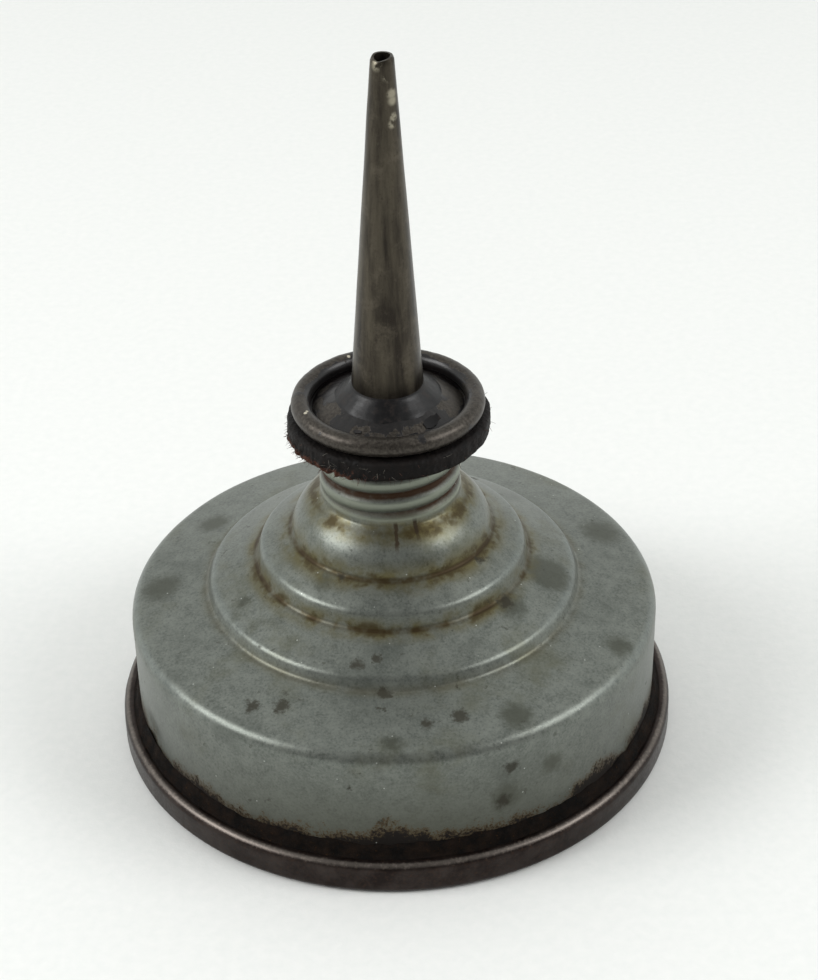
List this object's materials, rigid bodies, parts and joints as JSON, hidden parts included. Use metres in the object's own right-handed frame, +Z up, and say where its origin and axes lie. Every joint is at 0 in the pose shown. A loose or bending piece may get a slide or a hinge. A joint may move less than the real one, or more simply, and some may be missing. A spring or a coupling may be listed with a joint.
{
  "type": "handy oiler can",
  "caption": "Small push-bottom oil can: stepped bell-shaped sheet-steel body, seamed springy base, and a long tapered spout screwed in over a leather washer",
  "frame": {"origin": "centre of the circle that the can stands on, at the underside of the bottom seam", "axes": "+Z up along the spout; the can is round about Z, and +X and +Y have no feature of their own except the start of the neck's thread"},
  "size_m": [0.064, 0.064, 0.0812],
  "materials": {
    "body": "dull grey drawn steel, satin, with oil stains and rust spots",
    "bottom": "dark browned steel, semi-gloss, worn bright on the top edge",
    "bottom_spring": "dark browned spring steel, oily",
    "seam_filler": "tarnished solder under black dirt and rust",
    "washer": "oil-soaked black leather, torn edge showing red-brown",
    "collar": "browned steel under flaking black varnish",
    "spout": "browned steel with lengthwise streaks, rubbed pale near the tip",
    "ferrule": "oily rolled steel thread",
    "varnished_solder": "solder under glossy black varnish",
    "solder": "dull grey soft solder"
  },
  "bodies": {
    "can": {"body_shell": "body", "bottom_rim": "bottom", "seam_solder": "seam_filler"},
    "bottom": {"bottom_diaphragm": "bottom_spring"},
    "washer": {"leather_washer": "washer"},
    "spout": {"spout_collar": "collar", "spout_tube": "spout", "spout_ferrule": "ferrule", "spout_solder": "varnished_solder", "ferrule_solder": "solder"}
  },
  "joints": [
    {"name": "bottom_press", "type": "slide", "parent": "can", "child": "bottom", "axis": [0, 0, 1], "range_m": [0, 0.003], "stiffness_N_per_m": 3000},
    {"name": "spout_lift", "type": "slide", "parent": "can", "child": "washer", "axis": [0, 0, 1], "range_m": [0, 0.0076]},
    {"name": "spout_turn", "type": "hinge", "parent": "washer", "child": "spout", "pos_m": [0, 0, 0.0384], "axis": [0, 0, 1], "range_deg": [0, 1080]}
  ],
  "couplings": [
    {"joint": "spout_lift", "follows": "spout_turn", "m_per_rad": 0.00039789}
  ]
}
